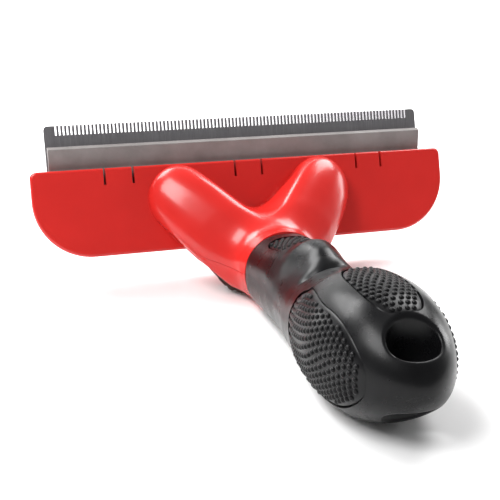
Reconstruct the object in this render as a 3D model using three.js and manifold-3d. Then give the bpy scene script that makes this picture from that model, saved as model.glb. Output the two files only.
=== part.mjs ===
// Undercoat rake: a wide comb blade with a slide that pushes the hair off it, on a Y-shaped neck
// and a rubber grip. Millimetres.
// The pieces are drawn in the head's own frame: X along the blade, +Z up the teeth, the handle
// towards -Y, with Y = 0 in the middle of the blade and Z = 0 just under the tooth tips.
// The last step turns and lifts everything so that the grip lies on the plane Z = 0.
import * as THREE from "three";
import { mergeVertices } from "three/addons/utils/BufferGeometryUtils.js";
import Module from "manifold-3d";

const wasm = await Module();
wasm.setup();

// ---- driving dimensions ----

const GAP = 0.3; // clearance between neighbouring pieces
const LEAN = THREE.MathUtils.degToRad(17); // how far the head leans back when the grip lies flat
const REST_DEPTH = 47.9; // from the head's origin down to the resting plane, after the lean
const MIDDLE_Y = 67.243; // from the head's origin forward to the middle of the whole object

// blade
const BLADE_WIDTH = 127;
const BLADE_TOP = 1;
const BLADE_BOTTOM = -32.6;
const BLADE_HALF = 0.6;
const TOOTH_COUNT = 99;
const TOOTH_PITCH = 1.207;
const SLOT_WIDTH = 0.52; // between two teeth
const TOOTH_LENGTH = 3;
const BLADE_CORNER_HIGH = 1.3;
const BLADE_CORNER_LOW = 6;
const CORNER_STEPS = 3;

// ejector slide
const STROKE = 5;
const BAR_WIDTH = 126;
const BAR_TOP = -5.8;
const BAR_BOTTOM = -19.5;
const BAR_BACK = -BLADE_HALF - GAP;
const BAR_FRONT_LOW = -2.4;
const BAR_FRONT_HIGH = -3.9;
const BAR_LIP_BEVEL = 0.9;
const LUG_X = 21.9; // the two places where the slide, yoke and neck arms line up
const LUG_Z = -30.5;
const TONGUE_WIDTH = 10;
const TONGUE_BOTTOM = -33.6;
const PEG_RADIUS = 2.3;
const PEG_FRONT = -9.6;

// head plate and blade cover
const PLATE_WIDTH = 138.4;
const PLATE_TOP = -13.3;
const PLATE_BOTTOM = -40.5;
const PLATE_FRONT = -6.2;
const PLATE_BACK = -3.2;
const PLATE_CORNER_LOW = 18;
const PLATE_CORNER_HIGH = 1.4;
const PLATE_RIM = 0.9;
const SLIT_WIDTH = 0.75;
const SLIT_DEPTH = 5.2;
const SLIT_X = [-46.6, -37.7, -4.5, 4.5, 37.7, 46.6];
const LEDGE_TOP = -24.9;
const LEDGE_INSET = 2.4;
const WINDOW_SIDE = 0.7; // room beside the peg in its window
const COVER_THICKNESS = 3.4;
const COVER_INSET = 1.6;
const SCREW_X = [-54, -9.5, 9.5, 54];
const SCREW_Z = -29;
const BLADE_SCREW_TIP = -4.2;
const BORE_END = -4.6; // of the blind holes that the blade's screws go into
const SHANK_RADIUS = 1.25;
const HEAD_RADIUS = 2.6;
const HEAD_HEIGHT = 1.5;

// neck
const ARM_X = 23.6;
const ARM_Z = -24.4;
const ARM_HALF_WIDTH = 10;
const ARM_HALF_HEIGHT = 10.6;
const CROTCH_Z = -44.8; // the middle of the web between the arms, at the head
const ARM_FOOT = 0.55; // how far out each arm still reaches inwards at the head, as a share of ARM_X
const OUTER_MERGE = 0.85; // share of the neck's length at which the arms' outer ends reach the stem
const INNER_MERGE = 0.12; // the same for the inner ends
const ARM_SAG = 1.4;
const NECK_WALL = 2.4;
const BLEND = 0.7; // how softly the arms run into each other
const ARM_SCREW_X = 22.5;
const ARM_SCREW_Z = -18.8;
const ARM_SCREW_TIP = -9;
const BELLY_LIFT = 2.2; // from the resting plane up to the neck's flat underside, at the head
const BELLY_END = -1; // the same at the collar, where the underside is round
const BELLY_SOFTNESS = 2;
const STEM_FLAT = 0.2; // how much less high than wide the stem is at the collar
const NECK_OVERLAP = 0.03; // the two halves of the neck cross the middle plane by this much
const NECK_CREST = THREE.MathUtils.degToRad(6);
const ROUND_SHARE = 0.78; // share of a section's points that lie on its round skin
const BISECTIONS = 30;
const SHEET_STEPS = 12; // of the curved sheet between the two shells
const ARM_BOSS_RADIUS = 2.6;
const NECK_SCREW_AT = [5.2, 11.4]; // along the grip's axis
const NECK_RINGS = 18;
const NECK_SIDES = 28;
const NECK_END = 0.985; // share of its length at which the neck's skin ends, just before the grip
const CAVITY_RINGS = 9;
const CAVITY_SIDES = 16;
const CAVITY_END = 0.9;
const BOSS_END = -12;
const SPIGOT_START = -3;
const SPIGOT_SIDES = 28;
const SPIGOT_RADIUS = 6.6;
const SPIGOT_LENGTH = 16;
const SPIGOT_HEAD = -6.1; // underside of the screw heads sunk in the spigot

// thumb button, yoke and spring inside the neck
const BUTTON_FRONT = -9;
const BUTTON_BACK = -24;
const BUTTON_HALF = 21; // half its width at the front, towards the head
const BUTTON_NARROWING = 1.15;
const BUTTON_PROUD = 1.5; // how far it stands out of the neck's underside
const BUTTON_DEPTH = 1.4; // how far its plate goes in under that skin
const BUTTON_RIDGE = 0.7;
const BUTTON_RIDGES = 6;
const BUTTON_PLAY = 0.4;
const BUTTON_TOP = -50.3; // of the block in its middle that takes the yoke's peg
const BLOCK_HALF = 4;
const YOKE_TOP = -46.5;
const YOKE_THICK = 2.8;
const YOKE_PAD_Y = -8.4;
const YOKE_PAD_RADIUS = 3.1;
const PEG_Y = -20;
const PEG_HALF = 2;
const PEG_DEPTH = 2.8;
const SPRING_Y = -26;
const SPRING_TOP = -38.9;
const SPRING_RADIUS = 2.7;
const SPRING_TURNS = 3;

// Half the button's width: wide at the head, narrower towards the grip.
const buttonHalf = (y) => BUTTON_HALF + BUTTON_NARROWING * (y - BUTTON_FRONT);

// grip, along its own axis from the collar
const COLLAR_Y = -34;
const COLLAR_Z = -48.5;
const DROOP = THREE.MathUtils.degToRad(14);
const COLLAR_RADIUS = 12.1;
const GRIP_LENGTH = 89;
const GRIP_CAP = 29.2; // length over which the far end rounds over
const GRIP_SQUARENESS = 2.25;
const DOME_POWER = 2.3;
const STATION = [0, 8, 15, 20, 25, 30, 34, 38, 42, 47, 53, 61, 70, 80, 90];
const STATION_TOP = [11.4, 12, 13.2, 14, 15.9, 15.4, 13.8, 12, 12.3, 13, 16, 16.5, 16.4, 14.8, 12.5];
const STATION_BOTTOM = [
  12, 12, 12.2, 12.4, 12.8, 12.9, 13, 13.1, 13.5, 14.1, 14.9, 15.4, 15.9, 14.7, 13.5,
];
const STATION_SIDE = [
  12.2, 12.1, 12.1, 12.2, 12.3, 12.8, 13.4, 14.1, 14.6, 15.3, 16.3, 16.8, 16.1, 15.6, 14.5,
];
const PINCH = 0.5; // how much narrower the hump is at its crest
const PINCH_AT = 31;
const PINCH_LENGTH = 9.5;
const RUBBER_THICKNESS = 3.4;
const HOLE_AT = 81.8;
const HOLE_HALF_X = 6.1;
const HOLE_HALF_U = 4.3;

// the core inside the grip, and how finely the handle is drawn
const GRIP_RINGS = 24;
const GRIP_SIDES = 26;
const CORE_END = 74.5;
const CORE_START = 1.2;
const CORE_RINGS = 10;
const CORE_STEPS = Array.from(
  { length: CORE_RINGS + 1 },
  (_, i) => CORE_START + ((CORE_END - CORE_START) * i) / CORE_RINGS,
);
const CORE_SIDES = 14;
const CORE_SCREW_AT = [30, 60];
const CORE_SCREW_HEAD = -6; // underside of the screw heads sunk in the lower half
const SCREW_END = 5.5; // how far the grip's and the neck's screws reach up over the axis
const SHAFT_END = 6;
const BEYOND = 30; // cutting tools run this far past the skin
const HOLE_SIDES = 24;

const MATERIALS = {
  steel: { color: 0x8a8682, roughness: 0.35, metalness: 0.9 },
  screw: { color: 0x9a9894, roughness: 0.3, metalness: 0.9 },
  grey: { color: 0x8f8780, roughness: 0.5, metalness: 0 },
  red: { color: 0xc8201c, roughness: 0.25, metalness: 0 },
  black: { color: 0x1b1a1a, roughness: 0.4, metalness: 0 },
  rubber: { color: 0x161616, roughness: 0.6, metalness: 0 },
};

// ---- small tools ----

// A closed geometry as a manifold-3d solid.
function solid(geometry) {
  const bare = geometry.clone();
  bare.deleteAttribute("normal");
  bare.deleteAttribute("uv");
  const merged = mergeVertices(bare, 1e-4);
  return new wasm.Manifold(
    new wasm.Mesh({
      numProp: 3,
      vertProperties: merged.attributes.position.array,
      triVerts: new Uint32Array(merged.index.array),
    }),
  );
}

function geometryOf(made) {
  const mesh = made.getMesh();
  const stride = mesh.numProp;
  const at = new Float32Array(mesh.numVert * 3);
  for (let i = 0; i < mesh.numVert; i++) {
    at.set(mesh.vertProperties.subarray(i * stride, i * stride + 3), i * 3);
  }
  return new THREE.BufferGeometry()
    .setAttribute("position", new THREE.BufferAttribute(at, 3))
    .setIndex(new THREE.BufferAttribute(mesh.triVerts, 1));
}

function joined(parts) {
  return parts.reduce((sum, part) => sum.add(part));
}

// The largest body of a solid, without the crumbs that a cut along a curved skin leaves.
function largest(made) {
  return made.decompose().reduce((best, body) => (body.volume() > best.volume() ? body : best));
}

// A box from its lowest to its highest corner.
function box(x0, x1, y0, y1, z0, z1) {
  const geometry = new THREE.BoxGeometry(x1 - x0, y1 - y0, z1 - z0);
  return solid(geometry.translate((x0 + x1) / 2, (y0 + y1) / 2, (z0 + z1) / 2));
}

// A straight round bar between two points.
function rod(from, to, radius, sides = 12) {
  const axis = new THREE.Vector3().subVectors(to, from);
  const geometry = new THREE.CylinderGeometry(radius, radius, axis.length(), sides);
  const turn = new THREE.Quaternion().setFromUnitVectors(
    new THREE.Vector3(0, 1, 0),
    axis.clone().normalize(),
  );
  const middle = new THREE.Vector3().addVectors(from, to).multiplyScalar(0.5);
  return solid(geometry.applyQuaternion(turn).translate(middle.x, middle.y, middle.z));
}

const at = (x, y, z) => new THREE.Vector3(x, y, z);

// A rod along Y.
function rodY(x, z, y0, y1, radius, sides) {
  return rod(at(x, y0, z), at(x, y1, z), radius, sides);
}

// A shape drawn in X and Z, thickened along Y.
function slabY(shape, y0, y1) {
  const geometry = new THREE.ExtrudeGeometry(shape, { depth: y1 - y0, bevelEnabled: false });
  return solid(geometry.rotateX(Math.PI / 2).translate(0, y1, 0));
}

// A shape drawn in Y and Z, thickened along X about X = 0.
function slabX(points, width) {
  const shape = new THREE.Shape(points.map(([y, z]) => new THREE.Vector2(-z, y)));
  const geometry = new THREE.ExtrudeGeometry(shape, { depth: width, bevelEnabled: false });
  return solid(geometry.rotateY(Math.PI / 2).translate(-width / 2, 0, 0));
}

// A closed skin through rings of the same number of points, capped at both ends.
function loft(rings) {
  const count = rings[0].length;
  const flat = rings.flat();
  const ends = [rings[0], rings[rings.length - 1]];
  const hubs = ends.map((ring) =>
    ring.reduce((sum, p) => sum.add(p), at(0, 0, 0)).multiplyScalar(1 / count),
  );
  const index = [];
  for (let i = 0; i + 1 < rings.length; i++) {
    for (let j = 0; j < count; j++) {
      const a = i * count + j;
      const b = i * count + ((j + 1) % count);
      index.push(a, a + count, b, b, a + count, b + count);
    }
  }
  const last = (rings.length - 1) * count;
  for (let j = 0; j < count; j++) {
    const next = (j + 1) % count;
    index.push(flat.length, j, next);
    index.push(flat.length + 1, last + next, last + j);
  }
  const geometry = new THREE.BufferGeometry().setFromPoints([...flat, ...hubs]).setIndex(index);
  const made = solid(geometry);
  return made.volume() > 0 ? made : solid(turned(geometry));
}

// The same geometry with its faces turned round.
function turned(geometry) {
  const index = geometry.index.array.slice();
  for (let i = 0; i < index.length; i += 3) {
    [index[i + 1], index[i + 2]] = [index[i + 2], index[i + 1]];
  }
  return geometry.clone().setIndex(Array.from(index));
}

const smooth = (t) => t * t * (3 - 2 * t);
const clamp01 = (t) => Math.min(1, Math.max(0, t));

// A smooth curve through the stations that never overshoots them.
function along(stations, values, u) {
  const last = stations.length - 1;
  const x = Math.min(Math.max(u, stations[0]), stations[last]);
  let i = 0;
  while (i < last - 1 && x > stations[i + 1]) i++;
  const slope = (k) => (values[k + 1] - values[k]) / (stations[k + 1] - stations[k]);
  const tangent = (k) => {
    if (k === 0) return slope(0);
    if (k === last) return slope(last - 1);
    const [before, after] = [slope(k - 1), slope(k)];
    return before * after <= 0 ? 0 : (2 * before * after) / (before + after);
  };
  const span = stations[i + 1] - stations[i];
  const t = (x - stations[i]) / span;
  const h = smooth(t);
  return (
    values[i] * (1 - h) +
    values[i + 1] * h +
    span * t * (1 - t) * (tangent(i) * (1 - t) - tangent(i + 1) * t)
  );
}

// ---- the grip's surface ----

// The point at distance u along the grip's axis, x across it and n above it.
function onGripAxis(u, x, n) {
  return at(
    x,
    COLLAR_Y - u * Math.cos(DROOP) - n * Math.sin(DROOP),
    COLLAR_Z - u * Math.sin(DROOP) + n * Math.cos(DROOP),
  );
}

// The grip's skin at distance u and angle phi round it, moved out by rise.
function gripSkin(u, phi, rise) {
  const top = along(STATION, STATION_TOP, u);
  const bottom = along(STATION, STATION_BOTTOM, u);
  const side = along(STATION, STATION_SIDE, u);
  const near = clamp01((u - (GRIP_LENGTH - GRIP_CAP)) / GRIP_CAP);
  const dome = Math.sqrt(1 - near ** DOME_POWER);
  const power = 2 / GRIP_SQUARENESS;
  const c = Math.sign(Math.cos(phi)) * Math.abs(Math.cos(phi)) ** power;
  const s = Math.sign(Math.sin(phi)) * Math.abs(Math.sin(phi)) ** power;
  const centre = (top - bottom) / 2;
  const n = centre + ((s > 0 ? top : bottom) * s - centre) * dome;
  const pinch = PINCH * Math.exp(-(((u - PINCH_AT) / PINCH_LENGTH) ** 2)) * Math.max(0, s);
  const x = side * dome * c * (1 - pinch);
  const out = new THREE.Vector2(x / side, (n - centre) / ((top + bottom) / 2)).normalize();
  return onGripAxis(u, x + out.x * rise, n + out.y * rise);
}

// Distances along the grip, closer together towards its rounded end.
function gripSteps(from, count) {
  const cap = GRIP_LENGTH - GRIP_CAP;
  const straight = Math.round(count * 0.6);
  return Array.from({ length: count }, (_, i) => {
    if (i < straight) return from + ((cap - from) * i) / straight;
    return cap + GRIP_CAP * Math.sin(((Math.PI / 2) * (i - straight)) / (count - straight));
  });
}

function gripBody(steps, rise, sides) {
  const ring = (u) =>
    Array.from({ length: sides }, (_, j) => gripSkin(u, (2 * Math.PI * (j + 0.5)) / sides, rise));
  return loft(steps.map(ring));
}

// ---- the neck's surface ----

// The line that each arm's section lies round at share t of the neck's length: it slants from an
// outer end down to an inner one.
function armLine(t) {
  const footZ = CROTCH_Z + (COLLAR_Z - CROTCH_Z) * smooth(t);
  const outer = 1 - smooth(clamp01(t / OUTER_MERGE));
  const inner = ARM_FOOT * (1 - smooth(clamp01(t / INNER_MERGE)));
  return {
    outerX: ARM_X * outer,
    innerX: ARM_X * inner,
    outerZ: footZ + (ARM_Z - footZ) * outer ** ARM_SAG,
    innerZ: footZ + (ARM_Z - footZ) * inner ** ARM_SAG,
  };
}

// The height at which the neck's two shells part.
function partingHeight(t) {
  const line = armLine(Math.max(t, INNER_MERGE));
  return (line.outerZ + line.innerZ) / 2;
}

// The neck's cross-section at share t of its length, shrunk by wall.
function neckSection(t, wall) {
  const share = clamp01(t);
  const line = armLine(share);
  const z = partingHeight(share);
  return {
    tilt: DROOP * smooth(share),
    y: PLATE_FRONT - GAP + (COLLAR_Y - PLATE_FRONT + GAP) * t,
    z,
    outerX: line.outerX,
    innerX: line.innerX,
    outerN: line.outerZ - z,
    innerN: line.innerZ - z,
    halfX: ARM_HALF_WIDTH + (COLLAR_RADIUS - ARM_HALF_WIDTH) * smooth(share) - wall,
    halfN: ARM_HALF_HEIGHT + (COLLAR_RADIUS - STEM_FLAT - ARM_HALF_HEIGHT) * smooth(share) - wall,
  };
}

// How far (x, n) is outside the section: two slanting ovals that run into each other.
function neckField(section, x, n) {
  const off = (sign) => {
    const startX = (sign * section.outerX) / section.halfX;
    const startN = section.outerN / section.halfN;
    const runX = (sign * (section.innerX - section.outerX)) / section.halfX;
    const runN = (section.innerN - section.outerN) / section.halfN;
    const [px, pn] = [x / section.halfX - startX, n / section.halfN - startN];
    const length = Math.max(runX ** 2 + runN ** 2, 1e-9);
    const share = clamp01((px * runX + pn * runN) / length);
    return Math.hypot(px - share * runX, pn - share * runN) - 1;
  };
  const [right, left] = [off(1), off(-1)];
  const share = clamp01(0.5 + (left - right) / (2 * BLEND));
  return left * (1 - share) + right * share - BLEND * share * (1 - share);
}

// Where the arms coincide the blend swells the section; this takes the swelling back out.
function neckBlendGrowth(section) {
  const overlap = clamp01(1 - section.outerX / section.halfX);
  return (BLEND / 4) * smooth(overlap);
}

// The height of the neck's underside at share t of its length, at distance y from the blade.
function bellyHeight(t, y) {
  const end = smooth(clamp01((t - 0.6) / 0.35));
  const lift = BELLY_LIFT + (BELLY_END - BELLY_LIFT) * end;
  return (lift - REST_DEPTH + y * Math.sin(LEAN)) / Math.cos(LEAN);
}

// The larger of two heights, with a soft change from one to the other.
function softMax(a, b, softness) {
  const near = Math.max(softness - Math.abs(a - b), 0) / softness;
  return Math.max(a, b) + (near * near * softness) / 4;
}

// The distance from the hub of a section to its skin, in the direction of angle.
function neckReach(section, hub, angle) {
  const scale = 1 + neckBlendGrowth(section);
  const [dx, dn] = [Math.cos(angle), Math.sin(angle)];
  let low = 0;
  let high = 4 * (section.halfX + section.halfN);
  for (let step = 0; step < BISECTIONS; step++) {
    const middle = (low + high) / 2;
    const inside = neckField(section, (hub + middle * dx) * scale, middle * dn * scale) < 0;
    if (inside) low = middle;
    else high = middle;
  }
  return low;
}

// The angle, on the upper (side 1) or lower (side -1) half, at which the skin meets the middle plane.
function neckTurn(section, hub, side) {
  let [low, high] = [Math.PI / 2, Math.PI - NECK_CREST];
  for (let step = 0; step < BISECTIONS; step++) {
    const angle = (low + high) / 2;
    const x = hub + neckReach(section, hub, side * angle) * Math.cos(angle);
    if (x > -NECK_OVERLAP) low = angle;
    else high = angle;
  }
  return low;
}

// The right half of a section as a ring of points, flat where it meets the middle plane.
function neckRing(t, wall, sides) {
  const section = neckSection(t, wall);
  const hub = Math.max((section.outerX + section.innerX) / 2, 0.4 * section.halfX);
  const below = neckTurn(section, hub, -1);
  const above = neckTurn(section, hub, 1);
  const round = Math.round(ROUND_SHARE * sides);
  const angles = [];
  for (let j = 0; j < sides; j++) {
    const flat = (j - round) / (sides - round);
    if (j <= round) angles.push(-below + ((below + above) * j) / round);
    else angles.push(above + (2 * Math.PI - below - above) * flat);
  }
  return angles.map((angle) => {
    const dx = Math.cos(angle);
    const skin = neckReach(section, hub, angle);
    const reach = dx < 0 ? Math.min(skin, (-NECK_OVERLAP - hub) / dx) : skin;
    const [x, n] = [hub + reach * dx, reach * Math.sin(angle)];
    const y = section.y - n * Math.sin(section.tilt);
    const z = section.z + n * Math.cos(section.tilt);
    return at(x, y, softMax(z, bellyHeight(t, y) + wall, BELLY_SOFTNESS));
  });
}

// The neck's body through stations, each a share of its length and a wall to shrink by.
function neckLoft(stations, sides) {
  const right = stations.map(([t, wall]) => neckRing(t, wall, sides));
  const left = right.map((ring) => ring.map((p) => at(-p.x, p.y, p.z)).reverse());
  return loft(right).add(loft(left));
}

function neckBody(from, to, wall, rings, sides) {
  const stations = Array.from({ length: rings + 1 }, (_, i) => [from + ((to - from) * i) / rings, wall]);
  return neckLoft(stations, sides);
}

// ---- the head ----

// The blade's outline: a strip whose top edge is cut into teeth between two solid ends.
function bladeShape() {
  const half = BLADE_WIDTH / 2;
  const rootZ = BLADE_TOP - TOOTH_LENGTH;
  const points = [];
  // A rounded corner from angle to angle + 90 degrees, counted clockwise from -X.
  const corner = (x, z, radius, from) => {
    for (let i = 0; i <= CORNER_STEPS; i++) {
      const angle = (Math.PI / 2) * (from + i / CORNER_STEPS);
      points.push([x - radius * Math.cos(angle), z + radius * Math.sin(angle)]);
    }
  };
  corner(-half + BLADE_CORNER_LOW, BLADE_BOTTOM + BLADE_CORNER_LOW, BLADE_CORNER_LOW, -1);
  corner(-half + BLADE_CORNER_HIGH, BLADE_TOP - BLADE_CORNER_HIGH, BLADE_CORNER_HIGH, 0);
  for (let k = 0; k <= TOOTH_COUNT; k++) {
    const x = (k - TOOTH_COUNT / 2) * TOOTH_PITCH;
    points.push([x - SLOT_WIDTH / 2, BLADE_TOP], [x - SLOT_WIDTH / 2, rootZ]);
    points.push([x + SLOT_WIDTH / 2, rootZ], [x + SLOT_WIDTH / 2, BLADE_TOP]);
  }
  corner(half - BLADE_CORNER_HIGH, BLADE_TOP - BLADE_CORNER_HIGH, BLADE_CORNER_HIGH, 1);
  corner(half - BLADE_CORNER_LOW, BLADE_BOTTOM + BLADE_CORNER_LOW, BLADE_CORNER_LOW, 2);
  return new THREE.Shape(points.map(([x, z]) => new THREE.Vector2(x, z)));
}

// The plate's outline at height y: small corners at the top, large ones at the bottom.
function plateRing(inset, top, y) {
  const half = PLATE_WIDTH / 2 - inset;
  const bottom = PLATE_BOTTOM + inset;
  const low = PLATE_CORNER_LOW - inset;
  const high = PLATE_CORNER_HIGH;
  const corners = [
    [half - high, top - high, high, 0, 2],
    [-half + high, top - high, high, 1, 2],
    [-half + low, bottom + low, low, 2, 8],
    [half - low, bottom + low, low, 3, 8],
  ];
  return corners.flatMap(([x, z, radius, quarter, steps]) =>
    Array.from({ length: steps + 1 }, (_, i) => {
      const angle = (Math.PI / 2) * (quarter + i / steps);
      return at(x + radius * Math.cos(angle), y, z + radius * Math.sin(angle));
    }),
  );
}

// A plate between two heights whose front and back edges are rounded over by rim.
function plateSlab(inset, top, y0, y1, rim) {
  const layers = [0, 1, 2].map((i) => {
    const angle = (Math.PI / 4) * i;
    return [rim * (1 - Math.sin(angle)), rim * (1 - Math.cos(angle))];
  });
  const front = layers.map(([narrow, rise]) => plateRing(inset + narrow, top - narrow, y0 + rise));
  const back = layers.map(([narrow, rise]) => plateRing(inset + narrow, top - narrow, y1 - rise));
  return loft([...front, ...back.reverse()]);
}

function combBlade() {
  const holes = SCREW_X.map((x) =>
    rodY(x, SCREW_Z, -2, 2, SHANK_RADIUS + GAP),
  );
  return slabY(bladeShape(), -BLADE_HALF, BLADE_HALF).subtract(joined(holes));
}

function ejectorBar() {
  const body = slabX(
    [
      [BAR_BACK, BAR_BOTTOM],
      [BAR_BACK, BAR_TOP],
      [BAR_FRONT_HIGH + BAR_LIP_BEVEL, BAR_TOP],
      [BAR_FRONT_HIGH, BAR_TOP - BAR_LIP_BEVEL],
      [BAR_FRONT_LOW, PLATE_TOP + 0.5],
      [BAR_FRONT_LOW, BAR_BOTTOM],
    ],
    BAR_WIDTH,
  );
  const lugs = [-1, 1].flatMap((side) => [
    box(
      side * LUG_X - TONGUE_WIDTH / 2,
      side * LUG_X + TONGUE_WIDTH / 2,
      BAR_FRONT_LOW,
      BAR_BACK,
      TONGUE_BOTTOM,
      BAR_BOTTOM + 1,
    ),
    rodY(side * LUG_X, LUG_Z, PEG_FRONT, BAR_BACK - 0.5, PEG_RADIUS, 16),
  ]);
  return joined([body, ...lugs]);
}

function headPlate() {
  const panel = plateSlab(0, PLATE_TOP, PLATE_FRONT, PLATE_BACK, PLATE_RIM);
  const ledge = loft([
    plateRing(LEDGE_INSET, LEDGE_TOP, PLATE_BACK - 1),
    plateRing(LEDGE_INSET, LEDGE_TOP, BAR_BACK),
  ]);
  const channels = [-1, 1].map((side) =>
    box(
      side * LUG_X - TONGUE_WIDTH / 2 - GAP,
      side * LUG_X + TONGUE_WIDTH / 2 + GAP,
      PLATE_BACK,
      0,
      TONGUE_BOTTOM - GAP,
      0,
    ),
  );
  const windows = [-1, 1].flatMap((side) => [
    rodY(side * LUG_X, LUG_Z, -9, 0, PEG_RADIUS + WINDOW_SIDE, 16),
    rodY(side * LUG_X, LUG_Z + STROKE, -9, 0, PEG_RADIUS + WINDOW_SIDE, 16),
    box(
      side * LUG_X - PEG_RADIUS - WINDOW_SIDE,
      side * LUG_X + PEG_RADIUS + WINDOW_SIDE,
      -9,
      0,
      LUG_Z,
      LUG_Z + STROKE,
    ),
  ]);
  const slits = SLIT_X.map((x) =>
    box(x - SLIT_WIDTH / 2, x + SLIT_WIDTH / 2, -9, 0, PLATE_TOP - SLIT_DEPTH, 0),
  );
  const bladeHoles = SCREW_X.map((x) => rodY(x, SCREW_Z, BORE_END, 0, SHANK_RADIUS + GAP));
  const armHoles = [-1, 1].flatMap((side) => [
    rodY(side * ARM_SCREW_X, ARM_SCREW_Z, -9, 0, SHANK_RADIUS + GAP),
    rodY(side * ARM_SCREW_X, ARM_SCREW_Z, PLATE_BACK - HEAD_HEIGHT - 2 * GAP, 0, HEAD_RADIUS + GAP),
  ]);
  return joined([panel, ledge]).subtract(
    joined([...channels, ...windows, ...slits, ...bladeHoles, ...armHoles]),
  );
}

function bladeCover() {
  const near = BLADE_HALF + GAP;
  const panel = plateSlab(COVER_INSET, PLATE_TOP, near, near + COVER_THICKNESS, PLATE_RIM);
  const holes = SCREW_X.flatMap((x) => [
    rodY(x, SCREW_Z, -1, 9, SHANK_RADIUS + GAP),
    rodY(x, SCREW_Z, near + COVER_THICKNESS - HEAD_HEIGHT - GAP, 9, HEAD_RADIUS + GAP),
  ]);
  return panel.subtract(joined(holes));
}

// A screw along Y with its head towards +Y.
function screwY(x, z, tip, top) {
  return rodY(x, z, tip, top - HEAD_HEIGHT + 0.1, SHANK_RADIUS).add(
    rodY(x, z, top - HEAD_HEIGHT, top, HEAD_RADIUS),
  );
}

// ---- the neck ----

// Everything above (or below) the curved sheet in the middle of the neck, moved by shift.
function neckSide(up, shift) {
  const far = up ? 2 * BEYOND : -2 * BEYOND;
  const sheet = [];
  for (let i = 0; i <= SHEET_STEPS; i++) {
    const section = neckSection(i / SHEET_STEPS, 0);
    sheet.push([section.y, section.z + shift]);
  }
  const first = [6, sheet[0][1]];
  const last = onGripAxis(BEYOND, 0, shift);
  const edge = [first, ...sheet, [last.y, last.z]];
  const outline = [...edge, [last.y, last.z + far], [first[0], first[1] + far]];
  return slabX(up ? outline : outline.reverse(), 3 * BEYOND);
}

// The upright wedge that the button slides in, grown by extra on every side.
function buttonPrism(extra) {
  return loft(
    [BUTTON_FRONT + extra, BUTTON_BACK - extra].map((y) => {
      const half = buttonHalf(y) + extra;
      return [at(-half, y, -70), at(half, y, -70), at(half, y, -34), at(-half, y, -34)];
    }),
  );
}

function neckShells() {
  const outside = neckBody(0, NECK_END, 0, NECK_RINGS, NECK_SIDES);
  const [start, end] = [onGripAxis(SPIGOT_START, 0, 0), onGripAxis(SPIGOT_LENGTH, 0, 0)];
  const spigot = rod(start, end, SPIGOT_RADIUS, SPIGOT_SIDES);
  const cavity = neckBody(-0.2, CAVITY_END, NECK_WALL, CAVITY_RINGS, CAVITY_SIDES);
  const bosses = [-1, 1].map((side) =>
    rodY(side * ARM_SCREW_X, ARM_SCREW_Z, BOSS_END, PLATE_FRONT - GAP, ARM_BOSS_RADIUS),
  );
  const bossHoles = [-1, 1].map((side) =>
    rodY(side * ARM_SCREW_X, ARM_SCREW_Z, ARM_SCREW_TIP - GAP, 0, SHANK_RADIUS + GAP),
  );
  const shell = outside.add(spigot).subtract(cavity);
  const headTop = SPIGOT_HEAD + HEAD_HEIGHT + GAP;
  const shafts = NECK_SCREW_AT.flatMap((u) => [
    rod(onGripAxis(u, 0, -BEYOND), onGripAxis(u, 0, SHAFT_END), SHANK_RADIUS + GAP),
    rod(onGripAxis(u, 0, -BEYOND), onGripAxis(u, 0, headTop), HEAD_RADIUS + GAP),
  ]);
  const upper = shell
    .intersect(neckSide(true, GAP / 2))
    .add(joined(bosses).intersect(outside))
    .subtract(joined([...bossHoles, ...shafts]));
  const lower = shell
    .intersect(neckSide(false, -GAP / 2))
    .subtract(joined([buttonPrism(BUTTON_PLAY), ...shafts]));
  return { upper: largest(upper), lower: largest(lower) };
}

// A bar of rectangular section from one point to another, standing upright.
function strut(from, to, width, height) {
  const run = new THREE.Vector3().subVectors(to, from);
  const across = at(run.y, -run.x, 0).normalize().multiplyScalar(width / 2);
  const up = at(0, 0, height / 2);
  const rings = [from, to].map((p) => {
    return [
      p.clone().add(across).add(up),
      p.clone().sub(across).add(up),
      p.clone().sub(across).sub(up),
      p.clone().add(across).sub(up),
    ];
  });
  return loft(rings);
}

function ejectorYoke() {
  const parts = [box(-4.2, 4.2, SPRING_Y - 3.2, PEG_Y + 2.5, YOKE_TOP - YOKE_THICK, YOKE_TOP)];
  for (const side of [-1, 1]) {
    const root = at(side * 2, PEG_Y, YOKE_TOP - YOKE_THICK / 2);
    const end = at(side * LUG_X, YOKE_PAD_Y, LUG_Z - 1);
    parts.push(strut(root, end, 4, YOKE_THICK));
    parts.push(rodY(side * LUG_X, LUG_Z, YOKE_PAD_Y - 1.2, YOKE_PAD_Y + 1.2, YOKE_PAD_RADIUS, 16));
  }
  parts.push(
    box(-PEG_HALF, PEG_HALF, PEG_Y - PEG_HALF, PEG_Y + PEG_HALF, BUTTON_TOP - PEG_DEPTH, YOKE_TOP - 1),
  );
  parts.push(rod(at(0, SPRING_Y, YOKE_TOP - 1), at(0, SPRING_Y, YOKE_TOP + 2), 1.3));
  const bores = [-1, 1].map((side) => rodY(side * LUG_X, LUG_Z, -15, -5, PEG_RADIUS + GAP, 16));
  return joined(parts).subtract(joined(bores));
}

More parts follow.
